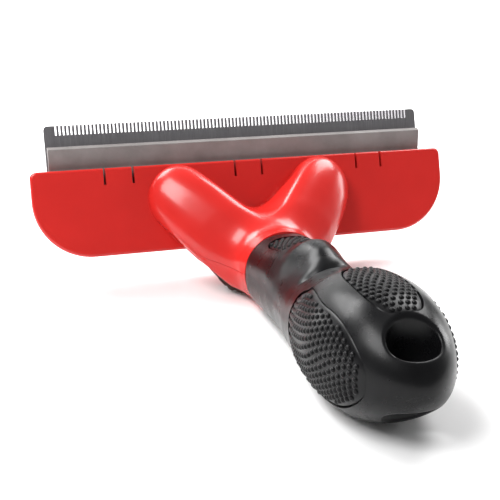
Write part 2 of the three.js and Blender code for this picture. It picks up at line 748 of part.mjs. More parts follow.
// The thumb button is a ridged plate that follows the neck's underside, on a block with a socket.
function thumbButton() {
  const length = COLLAR_Y - PLATE_FRONT + GAP;
  const share = (y) => (y - PLATE_FRONT + GAP) / length;
  const pitch = (BUTTON_FRONT - BUTTON_BACK) / BUTTON_RIDGES;
  const stations = [[share(BUTTON_FRONT + 2), -BUTTON_PROUD]];
  for (let k = 0; k < BUTTON_RIDGES; k++) {
    const y = BUTTON_FRONT - k * pitch;
    const [foot, crest] = [BUTTON_RIDGE - BUTTON_PROUD, -BUTTON_PROUD];
    stations.push([share(y), foot], [share(y - 0.3 * pitch), crest], [share(y - 0.65 * pitch), crest]);
  }
  stations.push([share(BUTTON_BACK - 3), BUTTON_RIDGE - BUTTON_PROUD]);
  const plate = neckLoft(stations, 20)
    .subtract(neckBody(-0.1, 0.95, BUTTON_DEPTH, 9, 18))
    .intersect(buttonPrism(0))
    .intersect(neckSide(false, -GAP));
  const block = box(
    -BLOCK_HALF,
    BLOCK_HALF,
    PEG_Y - BLOCK_HALF + 0.6,
    PEG_Y + BLOCK_HALF - 0.6,
    BUTTON_TOP - PEG_DEPTH - 1.6,
    BUTTON_TOP,
  );
  const socket = box(
    -PEG_HALF - GAP,
    PEG_HALF + GAP,
    PEG_Y - PEG_HALF - GAP,
    PEG_Y + PEG_HALF + GAP,
    BUTTON_TOP - PEG_DEPTH - GAP,
    BUTTON_TOP + 1,
  );
  return plate.add(block).subtract(socket);
}

function returnSpring() {
  const turns = SPRING_TURNS;
  const [low, high] = [YOKE_TOP + 0.7, SPRING_TOP];
  class Helix extends THREE.Curve {
    getPoint(t, target = new THREE.Vector3()) {
      const angle = 2 * Math.PI * turns * t;
      return target.set(
        SPRING_RADIUS * Math.cos(angle),
        SPRING_Y + SPRING_RADIUS * Math.sin(angle),
        low + (high - low) * t,
      );
    }
  }
  const wire = new THREE.Shape();
  wire.absarc(0, 0, 0.3, 0, 2 * Math.PI, false);
  return solid(
    new THREE.ExtrudeGeometry(wire, {
      steps: turns * 12,
      curveSegments: 2,
      extrudePath: new Helix(),
    }),
  );
}

// A screw across the grip's axis, with its head underneath.
function screwN(u, head, tip) {
  return rod(onGripAxis(u, 0, head + 0.1), onGripAxis(u, 0, tip), SHANK_RADIUS).add(
    rod(onGripAxis(u, 0, head), onGripAxis(u, 0, head + HEAD_HEIGHT), HEAD_RADIUS),
  );
}

// ---- the handle ----

// The oval hole through the grip's end, grown by extra.
function hangingHole(extra) {
  const rings = [-BEYOND, BEYOND].map((n) => {
    const ring = [];
    for (let j = 0; j < HOLE_SIDES; j++) {
      const angle = (2 * Math.PI * j) / HOLE_SIDES;
      ring.push(
        onGripAxis(
          HOLE_AT + (HOLE_HALF_U + extra) * Math.sin(angle),
          (HOLE_HALF_X + extra) * Math.cos(angle),
          n,
        ),
      );
    }
    return ring;
  });
  return loft(rings);
}

function coreHalves() {
  const body = gripBody(CORE_STEPS, -RUBBER_THICKNESS - GAP, CORE_SIDES);
  const socket = rod(
    onGripAxis(-2, 0, 0),
    onGripAxis(SPIGOT_LENGTH + GAP, 0, 0),
    SPIGOT_RADIUS + GAP,
    SPIGOT_SIDES,
  );
  const shafts = CORE_SCREW_AT.flatMap((u) => [
    rod(onGripAxis(u, 0, -BEYOND), onGripAxis(u, 0, SHAFT_END), SHANK_RADIUS + GAP),
    rod(onGripAxis(u, 0, -BEYOND), onGripAxis(u, 0, CORE_SCREW_HEAD), HEAD_RADIUS + GAP),
  ]);
  const whole = body.subtract(joined([socket, ...shafts]));
  const half = (n0, n1) => {
    const ring = (u) => [
      onGripAxis(u, -BEYOND, n0),
      onGripAxis(u, BEYOND, n0),
      onGripAxis(u, BEYOND, n1),
      onGripAxis(u, -BEYOND, n1),
    ];
    return loft([ring(-BEYOND), ring(GRIP_LENGTH + BEYOND)]);
  };
  return {
    upper: whole.intersect(half(GAP / 2, BEYOND)),
    lower: whole.intersect(half(-BEYOND, -GAP / 2)),
  };
}

// A pad is a patch of the grip's skin: its middle, its half-sizes, how square its corners are,
// how far its front end leans up, how much that end is narrower, and its rows of studs.
const SIDE_PAD = { u: 63, halfU: 18.6, halfPhi: 42, corner: 2.3, taper: 0, rows: 9, across: 6 };
const SIDE_PAD_LEAN = 26;
const PADS = {
  top_stud_pad: {
    u: 64.2,
    halfU: 12.4,
    phi: 90,
    halfPhi: 21,
    corner: 3.4,
    lean: 0,
    taper: 0.25,
    rows: 7,
    across: 3,
  },
  front_stud_pad: {
    u: 12,
    halfU: 6.8,
    phi: 90,
    halfPhi: 36,
    corner: 4,
    lean: 0,
    taper: 0,
    rows: 4,
    across: 5,
  },
  left_stud_pad: { ...SIDE_PAD, phi: 180, lean: -SIDE_PAD_LEAN },
  right_stud_pad: { ...SIDE_PAD, phi: 0, lean: SIDE_PAD_LEAN },
};
const PAD_DEPTH = 1.5;
const RECESS_PLAY = 2.5 * GAP; // round each pad, as the coarse outlines of pad and recess differ
const RECESS_TOP = 3; // the recess is cut from above the skin
const PAD_RINGS = [0.12, 0.58, 1]; // from the pad's middle to its outline
const PAD_SIDES = 18;
const PAD_PER_DEGREE = 0.2; // length of one degree round the slimmest part of the grip
const PAD_SINK = 0.15; // of the pad's face under the grip's skin
const STUD_FILL = 0.72; // share of the pad's outline that the studs keep inside
const STUD_SIDES = 4;
const STUD_RADIUS = 0.75;
const STUD_HEIGHT = 0.7;
const STUD_ROOT = 1; // how far each stud goes down into its pad

// The skin point of a pad at (p, q) in its own -1 to 1 square, moved out by rise.
function padPoint(pad, p, q, rise) {
  const lean = pad.lean * Math.max(0, -p) ** 1.6;
  const narrow = 1 - (pad.taper * (1 - p)) / 2;
  const phi = THREE.MathUtils.degToRad(pad.phi + lean + pad.halfPhi * q * narrow);
  return gripSkin(pad.u + pad.halfU * p, phi, rise);
}

// A slab that follows the grip's skin inside the pad's outline.
function padSlab(pad, grow, low, high) {
  const scale = [1 + grow / pad.halfU, 1 + grow / (pad.halfPhi * PAD_PER_DEGREE)];
  const layer = (rise) => {
    return PAD_RINGS.map((share) =>
      Array.from({ length: PAD_SIDES }, (_, j) => {
        const angle = (2 * Math.PI * j) / PAD_SIDES;
        const [c, s] = [Math.cos(angle), Math.sin(angle)];
        const edge = (Math.abs(c) ** pad.corner + Math.abs(s) ** pad.corner) ** (-1 / pad.corner);
        return padPoint(pad, share * edge * c * scale[0], share * edge * s * scale[1], rise);
      }),
    );
  };
  return loft([...layer(low), ...layer(high).reverse()]);
}

// The studs stand in rows, each second row moved over by half a space.
function padStuds(pad) {
  const studs = [];
  for (let i = 0; i < pad.rows; i++) {
    const p = -1 + (2 * (i + 0.5)) / pad.rows;
    const count = pad.across - (i % 2);
    for (let j = 0; j < count; j++) {
      const q = (2 * (j - (count - 1) / 2)) / pad.across;
      if (Math.abs(p) ** pad.corner + Math.abs(q) ** pad.corner > STUD_FILL) continue;
      const foot = padPoint(pad, p, q, -STUD_ROOT);
      const tip = padPoint(pad, p, q, STUD_HEIGHT);
      studs.push(rod(foot, tip, STUD_RADIUS, STUD_SIDES));
    }
  }
  return studs;
}

function studPad(pad) {
  return joined([padSlab(pad, 0, -PAD_DEPTH, -PAD_SINK), ...padStuds(pad)]);
}

function rubberGrip() {
  const outside = gripBody(gripSteps(0, GRIP_RINGS), 0, GRIP_SIDES);
  const inside = gripBody([-1, ...CORE_STEPS, CORE_END + GAP], -RUBBER_THICKNESS, CORE_SIDES);
  const recesses = Object.values(PADS).map((pad) =>
    padSlab(pad, RECESS_PLAY, -PAD_DEPTH - GAP, RECESS_TOP),
  );
  return outside.subtract(joined([inside, hangingHole(0), ...recesses]));
}

// ---- putting it on its rest ----

const toRest = new THREE.Matrix4()
  .makeTranslation(0, MIDDLE_Y, REST_DEPTH)
  .multiply(new THREE.Matrix4().makeRotationX(-LEAN));

function settled(made) {
  return solid(geometryOf(made).applyMatrix4(toRest));
}

const group = new THREE.Group();

function place(name, material, made, floor) {
  let body = settled(made);
  if (floor !== undefined) body = body.subtract(box(-100, 100, -150, 150, -50, floor));
  const mesh = new THREE.Mesh(
    geometryOf(body),
    new THREE.MeshStandardMaterial(MATERIALS[material]),
  );
  mesh.name = name;
  group.add(mesh);
}

const shells = neckShells();
const core = coreHalves();

place("comb_blade", "steel", combBlade());
place("ejector_bar", "grey", ejectorBar());
place("head_plate", "red", headPlate());
place("blade_cover", "red", bladeCover());
SCREW_X.forEach((x, i) => {
  const top = BLADE_HALF + GAP + COVER_THICKNESS;
  place(`blade_screw_${i + 1}`, "screw", screwY(x, SCREW_Z, BLADE_SCREW_TIP, top));
});
place("neck_upper_shell", "red", shells.upper);
place("neck_lower_shell", "red", shells.lower, GAP);
const armScrew = (x) => screwY(x, ARM_SCREW_Z, ARM_SCREW_TIP, PLATE_BACK - GAP);
place("arm_screw_left", "screw", armScrew(-ARM_SCREW_X));
place("arm_screw_right", "screw", armScrew(ARM_SCREW_X));
NECK_SCREW_AT.forEach((u, i) => {
  place(`neck_screw_${i + 1}`, "screw", screwN(u, SPIGOT_HEAD, SCREW_END));
});
place("ejector_yoke", "black", ejectorYoke());
place("thumb_button", "black", thumbButton());
place("return_spring", "screw", returnSpring());
place("core_upper_half", "black", core.upper);
place("core_lower_half", "black", core.lower);
CORE_SCREW_AT.forEach((u, i) => {
  const head = CORE_SCREW_HEAD - HEAD_HEIGHT - GAP;
  place(`core_screw_${i + 1}`, "screw", screwN(u, head, SCREW_END));
});
place("rubber_grip", "rubber", rubberGrip(), 0);
Object.entries(PADS).forEach(([name, pad]) => place(name, "rubber", studPad(pad)));

export default group;
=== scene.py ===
"""Undercoat rake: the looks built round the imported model. Metres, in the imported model's frame."""

import math

import bmesh
import bpy
import numpy as np
from mathutils import Matrix, Quaternion, Vector


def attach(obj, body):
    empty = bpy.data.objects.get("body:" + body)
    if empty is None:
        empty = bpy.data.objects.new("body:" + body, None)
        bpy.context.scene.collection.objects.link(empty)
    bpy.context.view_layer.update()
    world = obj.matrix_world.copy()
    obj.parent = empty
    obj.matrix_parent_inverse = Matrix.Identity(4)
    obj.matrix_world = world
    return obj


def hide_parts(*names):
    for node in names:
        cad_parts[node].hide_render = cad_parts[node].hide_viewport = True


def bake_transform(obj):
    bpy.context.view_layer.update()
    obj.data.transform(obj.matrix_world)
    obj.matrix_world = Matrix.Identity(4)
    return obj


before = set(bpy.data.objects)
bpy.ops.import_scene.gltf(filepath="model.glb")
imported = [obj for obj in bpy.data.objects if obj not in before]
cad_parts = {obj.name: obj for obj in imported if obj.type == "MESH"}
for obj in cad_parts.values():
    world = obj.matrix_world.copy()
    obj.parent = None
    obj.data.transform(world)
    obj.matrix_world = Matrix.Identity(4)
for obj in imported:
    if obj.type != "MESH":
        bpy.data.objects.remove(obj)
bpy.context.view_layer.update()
MM = 0.001
BODY = "rake_body"

# ---- the head's own frame, in millimetres: X along the blade, +Z up the teeth ----

LEAN = math.radians(17)
MIDDLE_Y = 67.243
REST_DEPTH = 47.9
HEAD = (
    Matrix.Scale(MM, 4)
    @ Matrix.Translation((0, MIDDLE_Y, REST_DEPTH))
    @ Matrix.Rotation(-LEAN, 4, "X")
)
HEAD_NP = np.array(HEAD)


def to_row(points):
    """Points of the head's frame (n, 3), in millimetres, as points of the row frame."""
    p = np.asarray(points, float)
    return p @ HEAD_NP[:3, :3].T + HEAD_NP[:3, 3]


# ---- meshes ----


def mesh_object(name, vertices, faces, smooth=True):
    mesh = bpy.data.meshes.new(name)
    mesh.from_pydata([tuple(v) for v in vertices], [], [tuple(f) for f in faces])
    mesh.validate()
    if smooth:
        mesh.polygons.foreach_set("use_smooth", [True] * len(mesh.polygons))
    obj = bpy.data.objects.new(name, mesh)
    bpy.context.scene.collection.objects.link(obj)
    return obj


def grid_faces(rows, columns, wrap=False, offset=0):
    """The quads of a grid of points; wrap joins the last column to the first."""
    faces = []
    for i in range(rows - 1):
        for j in range(columns if wrap else columns - 1):
            k = (j + 1) % columns
            faces.append(
                (
                    offset + i * columns + j,
                    offset + i * columns + k,
                    offset + (i + 1) * columns + k,
                    offset + (i + 1) * columns + j,
                )
            )
    return faces


def outward(obj):
    """Turns the faces of a closed mesh to face out."""
    work = bmesh.new()
    work.from_mesh(obj.data)
    bmesh.ops.recalc_face_normals(work, faces=work.faces)
    if work.calc_volume(signed=True) < 0:
        bmesh.ops.reverse_faces(work, faces=work.faces)
    work.to_mesh(obj.data)
    work.free()
    return obj


def applied(obj):
    """Bakes the modifiers into the mesh."""
    depsgraph = bpy.context.evaluated_depsgraph_get()
    bpy.context.view_layer.update()
    mesh = bpy.data.meshes.new_from_object(obj.evaluated_get(depsgraph))
    obj.modifiers.clear()
    obj.data = mesh
    return obj


def cut(obj, tool, operation="DIFFERENCE"):
    """Boolean of obj with tool, which is used up."""
    step = obj.modifiers.new("cut", "BOOLEAN")
    step.object = tool
    step.operation = operation
    step.solver = "MANIFOLD"
    applied(obj)
    bpy.data.objects.remove(tool)
    return obj


def loft(name, rings, smooth=True):
    """A closed skin through rings (lists of points in the row frame) of the same length."""
    count = len(rings[0])
    vertices = [tuple(p) for ring in rings for p in ring]
    faces = grid_faces(len(rings), count, wrap=True)
    faces.append(tuple(range(count)))
    faces.append(tuple(range(len(vertices) - count, len(vertices)))[::-1])
    obj = mesh_object(name, vertices, faces, smooth)
    return outward(obj)


def rounded(obj, width, segments=3, angle=35):
    """Rounds the sharp edges over by width millimetres and keeps the flats flat in the shading."""
    step = obj.modifiers.new("round", "BEVEL")
    step.width = width * MM
    step.segments = segments
    step.limit_method = "ANGLE"
    step.angle_limit = math.radians(angle)
    step.harden_normals = True
    return obj


# ---- materials ----


def material(name, colour, roughness, metallic=0.0, **extra):
    """A new material with its node tree and main shader; extra sets more of the shader's inputs."""
    made = bpy.data.materials.new(name)
    made.use_nodes = True
    tree = made.node_tree
    shader = tree.nodes["Principled BSDF"]
    shader.inputs["Base Color"].default_value = (*colour, 1)
    shader.inputs["Roughness"].default_value = roughness
    shader.inputs["Metallic"].default_value = metallic
    for key, value in extra.items():
        shader.inputs[key.replace("_", " ")].default_value = value
    return made, tree, shader


def place_node(tree, stretch=(1, 1, 1)):
    """Object coordinates, in millimetres, stretched along each axis."""
    where = tree.nodes.new("ShaderNodeTexCoord")
    scale = tree.nodes.new("ShaderNodeMapping")
    scale.inputs["Scale"].default_value = [s / MM for s in stretch]
    tree.links.new(where.outputs["Object"], scale.inputs["Vector"])
    return scale.outputs["Vector"]


def noise(tree, vector, scale, detail=4, roughness=0.5):
    made = tree.nodes.new("ShaderNodeTexNoise")
    made.inputs["Scale"].default_value = scale
    made.inputs["Detail"].default_value = detail
    made.inputs["Roughness"].default_value = roughness
    tree.links.new(vector, made.inputs["Vector"])
    return made.outputs["Fac"]


def ramp(tree, value, low, high, low_at=0.3, high_at=0.7):
    """Maps a noise value from low_at to high_at onto low to high."""
    made = tree.nodes.new("ShaderNodeMapRange")
    made.inputs["From Min"].default_value = low_at
    made.inputs["From Max"].default_value = high_at
    made.inputs["To Min"].default_value = low
    made.inputs["To Max"].default_value = high
    tree.links.new(value, made.inputs["Value"])
    return made.outputs["Result"]


def tint(tree, value, low, high):
    """Mixes two colours by a 0 to 1 value."""
    made = tree.nodes.new("ShaderNodeMix")
    made.data_type = "RGBA"
    made.inputs[6].default_value = (*low, 1)
    made.inputs[7].default_value = (*high, 1)
    tree.links.new(value, made.inputs[0])
    return made.outputs[2]


def bump(tree, shader, height, strength, distance):
    """Fine relief from a height value; distance is in millimetres."""
    made = tree.nodes.new("ShaderNodeBump")
    made.inputs["Strength"].default_value = strength
    made.inputs["Distance"].default_value = distance * MM
    tree.links.new(height, made.inputs["Height"])
    tree.links.new(made.outputs["Normal"], shader.inputs["Normal"])


RED_IOR = 1.42
CLOUD_SCALE = 0.06
RIPPLE_SCALE = 0.12
FLOW_MARK = 0.92
RUBBER_IOR = 1.3
PATCH_SCALE = 0.08
POLISH_SCALE = 0.18
SCRATCH_DARK = 0.7


def gloss_red(name, colour):
    """Moulded glossy plastic: faint flow marks in the colour, fine ripple and a thin clear coat."""
    made, tree, shader = material(name, colour, 0.16, Coat_Weight=0.12, Coat_Roughness=0.1, IOR=RED_IOR)
    where = place_node(tree)
    cloud = ramp(tree, noise(tree, where, CLOUD_SCALE, 3), 0, 1)
    darker = tuple(c * FLOW_MARK for c in colour)
    tree.links.new(tint(tree, cloud, darker, colour), shader.inputs["Base Color"])
    polish = ramp(tree, noise(tree, where, RIPPLE_SCALE, 3), 0.19, 0.26)
    tree.links.new(polish, shader.inputs["Roughness"])
    bump(tree, shader, noise(tree, where, RIPPLE_SCALE, 2), 0.05, 0.02)
    return made


def satin_rubber(name, colour, low, high, grain):
    """Soft moulded rubber: a fine grain, patchy polish and a dusty tint."""
    made, tree, shader = material(name, colour, (low + high) / 2, IOR=RUBBER_IOR)
    where = place_node(tree)
    patch = ramp(tree, noise(tree, where, PATCH_SCALE, 5, 0.6), 0, 1)
    dusty = tuple(min(1, c * 1.4 + 0.001) for c in colour)
    tree.links.new(tint(tree, patch, colour, dusty), shader.inputs["Base Color"])
    polish = ramp(tree, noise(tree, where, POLISH_SCALE, 6, 0.6), low, high)
    tree.links.new(polish, shader.inputs["Roughness"])
    bump(tree, shader, noise(tree, where, grain, 3), 0.35, 0.03)
    return made


def brushed(name, colour, along, low, high):
    """Metal with fine scratches along one axis of the row frame."""
    made, tree, shader = material(name, colour, (low + high) / 2, 1.0)
    where = place_node(tree, along)
    lines = noise(tree, where, 1.0, 6, 0.65)
    tree.links.new(ramp(tree, lines, low, high), shader.inputs["Roughness"])
    dark = tuple(c * SCRATCH_DARK for c in colour)
    streaks = ramp(tree, lines, 0, 1, 0.35, 0.65)
    tree.links.new(tint(tree, streaks, dark, colour), shader.inputs["Base Color"])
    bump(tree, shader, lines, 0.3, 0.02)
    return made


# ---- the grip's surface ----

COLLAR_Y = -34
COLLAR_Z = -48.5
DROOP = math.radians(14)  # of the grip's axis under the head's Y axis
GRIP_LENGTH = 89
GRIP_CAP = 29.2
SQUARENESS = 2.25
DOME_POWER = 2.3
# Distances along the grip, and the skin's height over, under and beside its axis at each.
STATION = [0, 8, 15, 20, 25, 30, 34, 38, 42, 47, 53, 61, 70, 80, 90]
STATION_TOP = [11.4, 12, 13.2, 14, 15.9, 15.4, 13.8, 12, 12.3, 13, 16, 16.5, 16.4, 14.8, 12.5]
STATION_BOTTOM = [12, 12, 12.2, 12.4, 12.8, 12.9, 13, 13.1, 13.5, 14.1, 14.9, 15.4, 15.9, 14.7, 13.5]
STATION_SIDE = [12.2, 12.1, 12.1, 12.2, 12.3, 12.8, 13.4, 14.1, 14.6, 15.3, 16.3, 16.8, 16.1, 15.6, 14.5]
PINCH = 0.5  # how much narrower the grip's upper side gets at PINCH_AT
PINCH_AT = 31
PINCH_LENGTH = 9.5
HOLE_AT = 81.8
HOLE_HALF_X = 6.1
HOLE_HALF_U = 4.3
HOLE_FLARE = 1.1
COLLAR_RIM = 0.9  # radius of the rounded edge next to the neck
CREASE_AT = 38.2
CREASE_TURN = 108  # degrees round the grip, where 90 is its top
CREASE_SPREAD = 30
CREASE_DEPTH = 1.05
CREASE_WIDTH = 0.5
TOP_OF_DOME = GRIP_LENGTH - 0.4


def along(values, u):
    """A smooth curve through the stations that never overshoots them."""
    s, v = np.array(STATION, float), np.array(values, float)
    u = np.clip(np.asarray(u, float), s[0], s[-1])
    slope = np.diff(v) / np.diff(s)
    before, after = slope[:-1], slope[1:]
    same = before * after > 0
    inner = np.where(same, 2 * before * after / np.where(same, before + after, 1), 0)
    tangent = np.concatenate([slope[:1], inner, slope[-1:]])
    i = np.clip(np.searchsorted(s, u, side="right") - 1, 0, len(s) - 2)
    span = s[i + 1] - s[i]
    t = (u - s[i]) / span
    h = t * t * (3 - 2 * t)
    bend = span * t * (1 - t) * (tangent[i] * (1 - t) - tangent[i + 1] * t)
    return v[i] * (1 - h) + v[i + 1] * h + bend


def on_grip_axis(u, x, n):
    """Head-frame points at distance u along the grip, x across it and n above its axis."""
    u, x, n = np.broadcast_arrays(u, x, n)
    y = COLLAR_Y - u * math.cos(DROOP) - n * math.sin(DROOP)
    z = COLLAR_Z - u * math.sin(DROOP) + n * math.cos(DROOP)
    return np.stack([x, y, z], -1)


def dome_at(u):
    """How far the grip's section has closed in towards its rounded end: 1 is open, 0 is closed."""
    near = np.clip((np.asarray(u, float) - (GRIP_LENGTH - GRIP_CAP)) / GRIP_CAP, 0, 1)
    return np.sqrt(1 - near**DOME_POWER)


def grip_skin(u, phi, rise=0.0):
    """Head-frame points of the grip's skin, moved out by rise."""
    u, phi, rise = np.broadcast_arrays(np.asarray(u, float), phi, rise)
    top, bottom, side = along(STATION_TOP, u), along(STATION_BOTTOM, u), along(STATION_SIDE, u)
    dome = dome_at(u)
    power = 2 / SQUARENESS
    c = np.sign(np.cos(phi)) * np.abs(np.cos(phi)) ** power
    s = np.sign(np.sin(phi)) * np.abs(np.sin(phi)) ** power
    centre = (top - bottom) / 2
    n = centre + (np.where(s > 0, top, bottom) * s - centre) * dome
    pinch = 1 - PINCH * np.exp(-(((u - PINCH_AT) / PINCH_LENGTH) ** 2)) * np.clip(s, 0, 1)
    x = side * dome * c * pinch
    out = np.stack([x / side, (n - centre) / ((top + bottom) / 2)], -1)
    out /= np.maximum(np.linalg.norm(out, axis=-1, keepdims=True), 1e-6)
    return on_grip_axis(u, x + out[..., 0] * rise, n + out[..., 1] * rise)


def skin_height(u, x, up):
    """The skin's height n over the axis at (u, x), on its upper or lower side."""
    top, bottom, side = along(STATION_TOP, u), along(STATION_BOTTOM, u), along(STATION_SIDE, u)
    dome = np.maximum(dome_at(u), 1e-3)
    c = np.clip(np.abs(x) / (side * dome), 0, 0.999)
    s = (1 - c**SQUARENESS) ** (1 / SQUARENESS)
    centre = (top - bottom) / 2
    return centre + (np.where(up, top, -bottom) * s - centre) * dome


def crease(u, phi):
    """The fold at the foot of the hump, deepest near the top."""
    across = (np.degrees(phi) - CREASE_TURN) / CREASE_SPREAD
    depth = CREASE_DEPTH * np.exp(-(across**4))
    behind = np.clip((u - CREASE_AT + 1.2 * across**2) / CREASE_WIDTH, -6, 6)
    return -depth * np.exp(-(behind**2) * np.where(behind < 0, 0.18, 1.6))


def grip_mesh(name):
    """The rubber sleeve: a rounded collar rim, the long body and a rounded end."""
    quarter = np.linspace(0, math.pi / 2, 6)
    rows = [(COLLAR_RIM * (1 - math.cos(a)), -COLLAR_RIM * (1 - math.sin(a))) for a in quarter]
    cap = GRIP_LENGTH - GRIP_CAP
    rows += [(u, 0.0) for u in np.linspace(COLLAR_RIM, cap, 130)[1:]]
    rows += [(cap + GRIP_CAP * math.sin(a), 0.0) for a in np.linspace(0, math.pi / 2, 70)[1:-1]]
    columns = 168
    phi = 2 * math.pi * (np.arange(columns) + 0.5) / columns
    u = np.array([r[0] for r in rows])[:, None]
    rise = np.array([r[1] for r in rows])[:, None]
    points = grip_skin(u, phi[None, :], rise + crease(u, phi[None, :]))
    vertices = to_row(points.reshape(-1, 3)).tolist()
    faces = grid_faces(len(rows), columns, wrap=True)
    top, bottom = along(STATION_TOP, GRIP_LENGTH), along(STATION_BOTTOM, GRIP_LENGTH)
    tip = to_row(on_grip_axis(GRIP_LENGTH, 0.0, (top - bottom) / 2).reshape(1, 3))[0]
    vertices.append(tuple(tip))
    last = (len(rows) - 1) * columns
    faces += [(last + j, last + (j + 1) % columns, len(vertices) - 1) for j in range(columns)]
    faces.append(tuple(range(columns)))
    return outward(mesh_object(name, vertices, faces))


def resting_block():
    """Everything under the resting plane; it cuts the small flats that the grip lies on."""
    corners = [(-0.1, -0.1), (0.1, -0.1), (0.1, 0.1), (-0.1, 0.1)]
    return loft("resting_block", [[(x, y, z) for x, y in corners] for z in (-0.05, 0.0)], smooth=False)


def hole_tool(name):
    """The oval hole, flared where it meets the skin so that its rims are round."""
    steps = np.linspace(math.radians(8), math.pi / 2, 7)
    sides = 72
    a = 2 * math.pi * np.arange(sides) / sides

    def ring(grow, up, depth):
        u = HOLE_AT + (HOLE_HALF_U + grow) * np.sin(a)
        x = (HOLE_HALF_X + grow) * np.cos(a)
        height = skin_height(np.minimum(u, TOP_OF_DOME), x, up)
        sign = 1 if up else -1
        return to_row(on_grip_axis(u, x, height - sign * depth))

    def side(up):
        grow = HOLE_FLARE + 1.5
        u = HOLE_AT + (HOLE_HALF_U + grow) * np.sin(a)
        x = (HOLE_HALF_X + grow) * np.cos(a)
        outside = 25.0 if up else -25.0
        far = to_row(on_grip_axis(np.minimum(u, TOP_OF_DOME), x, outside))
        rings = [far, ring(grow, up, -3.0)]
        for t in steps:
            depth = HOLE_FLARE * (1 - math.cos(t)) - 0.02
            rings.append(ring(HOLE_FLARE * (1 - math.sin(t)), up, depth))
        return rings

    return loft(name, side(True) + side(False)[::-1])


# ---- the pads on the grip ----

# Each pad's middle and half size along the grip (u) and round it (phi, in degrees). Its outline gets
# squarer with corner, its front end turns by lean degrees and narrows by taper.
PADS = {
    "top_stud_pad": dict(u=64.2, half_u=12.4, phi=88, half_phi=24, corner=3.4, lean=0, taper=0.2),
    "front_stud_pad": dict(u=12.0, half_u=6.8, phi=90, half_phi=36, corner=4.0, lean=0, taper=0.0),
    "left_stud_pad": dict(u=63.0, half_u=18.6, phi=180, half_phi=42, corner=2.3, lean=-26, taper=0.0),
    "right_stud_pad": dict(u=63.0, half_u=18.6, phi=0, half_phi=42, corner=2.3, lean=26, taper=0.0),
}
STUD_PITCH = 1.78
STUD_FOOT = -0.45  # under the grip's skin
STUD_EDGE = 0.88
RIB_STRETCH = 1.3
RIB_FROM = 54  # the side pads' studs stretch into ribs in front of this distance
MM_PER_DEGREE = 0.24  # round the skin of the grip
PAD_PLAY = 0.28
PAD_SINK = 0.3
PAD_DEPTH = 1.1


def pad_place(pad, p, q):
    """(u, phi) of a pad's point (p, q), each from -1 to 1. The front end leans towards the top."""
    p, q = np.broadcast_arrays(np.asarray(p, float), np.asarray(q, float))
    lean = pad["lean"] * np.clip(-p, 0, 1.2) ** 1.6
    narrow = 1 - pad["taper"] * (1 - p) / 2
    return pad["u"] + pad["half_u"] * p, np.radians(pad["phi"] + lean + pad["half_phi"] * q * narrow)


def pad_edge(pad, angle):
    """The distance from a pad's middle to its rounded outline, 1 being its half size."""
    c, s = np.abs(np.cos(angle)), np.abs(np.sin(angle))
    return (c ** pad["corner"] + s ** pad["corner"]) ** (-1 / pad["corner"])


def pad_ring(pad, share, grow, rise, sides):
    """A ring of the pad's outline, shrunk to a share of its size, grown by grow millimetres."""
    angle = 2 * math.pi * (np.arange(sides) + 0.5) / sides
    edge = pad_edge(pad, angle) * share
    p = edge * np.cos(angle) * (1 + grow / pad["half_u"])
    q = edge * np.sin(angle) * (1 + grow / (pad["half_phi"] * MM_PER_DEGREE))
    u, phi = pad_place(pad, p, q)
    return to_row(grip_skin(u, phi, rise))


def pad_slab(name, pad, grow, top, bottom, edge_round=0.0, sides=96, rings=14):
    """A slab that follows the grip's skin inside the pad's outline, from rise bottom to rise top."""
    shares = np.linspace(0.04, 0.97, rings)
    upper = [pad_ring(pad, s, grow, top, sides) for s in shares]
    lower = [pad_ring(pad, s, grow, bottom, sides) for s in shares]
    edge = [pad_ring(pad, 1.0, grow, rise, sides) for rise in (top - edge_round, bottom)]
    return loft(name, upper + edge + lower[::-1])


# Radius and height of a stud's rings, from under the pad's face to its top.
STUD_PROFILE = [(0.74, -0.7), (0.7, 0.05), (0.62, 0.32), (0.46, 0.53), (0.24, 0.65)]
STUD_SIDES = 8


def stud_axes(u, phi):
    """A stud's foot on the grip, and the directions along the grip, across it and up from it."""
    foot = grip_skin(u, phi, STUD_FOOT)
    ahead = grip_skin(u + 0.2, phi, STUD_FOOT) - foot
    beside = grip_skin(u, phi + 0.02, STUD_FOOT) - foot
    ahead /= np.linalg.norm(ahead)
    up = np.cross(beside, ahead)
    up /= np.linalg.norm(up)
    out = grip_skin(u, phi, 1.0) - foot
    up = up if np.dot(up, out) > 0 else -up
    return foot, ahead, np.cross(up, ahead), up


def add_stud(vertices, faces, u, phi, stretch):
    """Adds one closed dome to a list of points and a list of faces."""
    foot, ahead, across, up = stud_axes(u, phi)
    base = len(vertices)
    for r, h in STUD_PROFILE:
        for k in range(STUD_SIDES):
            a = 2 * math.pi * k / STUD_SIDES
            spot = foot + ahead * (r * stretch * math.cos(a)) + across * (r * math.sin(a))
            vertices.append(spot + up * h)
    vertices.append(foot + up * (STUD_PROFILE[-1][1] + 0.05))
    faces += grid_faces(len(STUD_PROFILE), STUD_SIDES, wrap=True, offset=base)
    tip = base + len(STUD_PROFILE) * STUD_SIDES
    last = tip - STUD_SIDES
    faces += [(last + k, last + (k + 1) % STUD_SIDES, tip) for k in range(STUD_SIDES)]
    faces.append(tuple(base + k for k in range(STUD_SIDES)))


